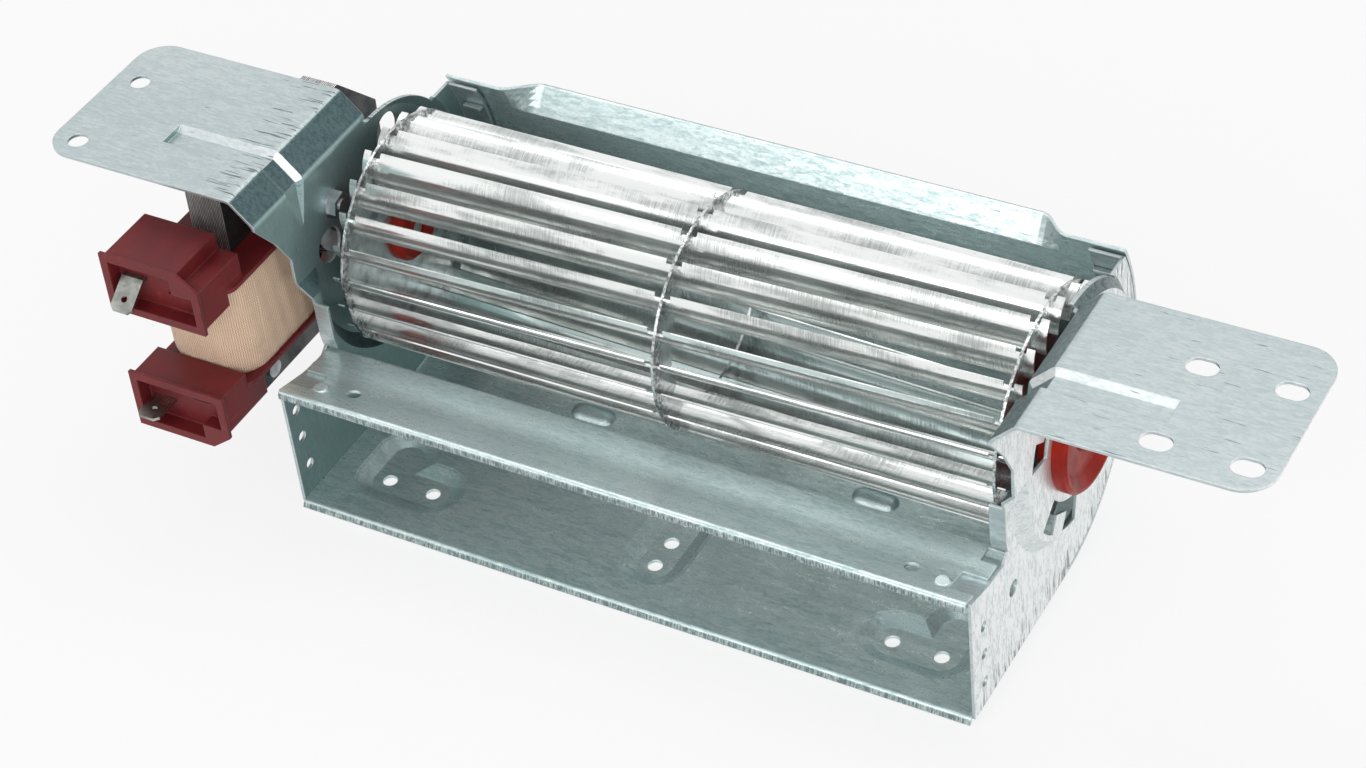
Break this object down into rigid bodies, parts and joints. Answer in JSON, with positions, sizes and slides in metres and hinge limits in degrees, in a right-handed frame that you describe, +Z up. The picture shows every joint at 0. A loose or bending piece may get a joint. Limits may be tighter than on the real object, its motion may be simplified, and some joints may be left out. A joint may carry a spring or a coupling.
{
  "type": "oven fan",
  "caption": "Tangential oven cooling fan: bladed wheel in a folded sheet housing with mounting flanges and a shaded-pole motor on one end.",
  "frame": {"origin": "bottom centre of the whole fan's box, on the plane of the pressed feet", "axes": "+X along the wheel's axis from the motor towards the bearing end, +Y to the back, +Z up through the mounting flanges; the outlet blows towards -Y"},
  "size_m": [0.3144, 0.1114, 0.0897],
  "materials": {
    "galvanised_sheet": "galvanised, blue-grey with fine spangle and die scratches",
    "wheel_aluminium": "bright rolled aluminium with fine grain along the blades",
    "red_silicone": "smooth orange-red silicone",
    "shaft_steel": "ground steel",
    "sintered_bronze": "dull oiled bronze",
    "lamination_steel": "dark stacked sheets with bright cut edges",
    "copper": "enamelled copper",
    "cast_zinc": "grey cast metal",
    "maroon_plastic": "moulded, satin, maroon",
    "woven_tape": "cream woven glass tape",
    "tinned_brass": "tinned",
    "zinc_screws": "bright zinc",
    "black_rubber": "black"
  },
  "bodies": {
    "housing": {"motor_side_plate": "galvanised_sheet", "bearing_side_plate": "galvanised_sheet", "scroll_sheet": "galvanised_sheet", "cutoff_sheet": "galvanised_sheet", "end_bearing_bush": "sintered_bronze", "bearing_cup": "red_silicone", "stator_laminations": "lamination_steel", "coil_leg_laminations": "lamination_steel", "shading_rings": "copper", "front_bearing_bracket": "cast_zinc", "rear_bearing_bracket": "cast_zinc", "motor_bushes": "sintered_bronze", "coil_bobbin": "maroon_plastic", "coil_winding": "copper", "coil_tape": "woven_tape", "terminal_tabs": "tinned_brass", "motor_screws": "zinc_screws", "motor_nuts": "zinc_screws", "lock_washers": "zinc_screws", "motor_spacers": "black_rubber", "stack_rivets": "zinc_screws"},
    "impeller": {"impeller_blades": "wheel_aluminium", "motor_end_disc": "wheel_aluminium", "middle_ring": "wheel_aluminium", "bearing_end_disc": "wheel_aluminium", "coupling_hub": "red_silicone", "stub_shaft": "shaft_steel", "rotor_core": "lamination_steel", "rotor_cage": "wheel_aluminium", "motor_shaft": "shaft_steel"}
  },
  "joints": [
    {"name": "wheel_spin", "type": "hinge", "parent": "housing", "child": "impeller", "pos_m": [0, 0.0149, 0.0513], "axis": [1, 0, 0], "continuous": true}
  ]
}
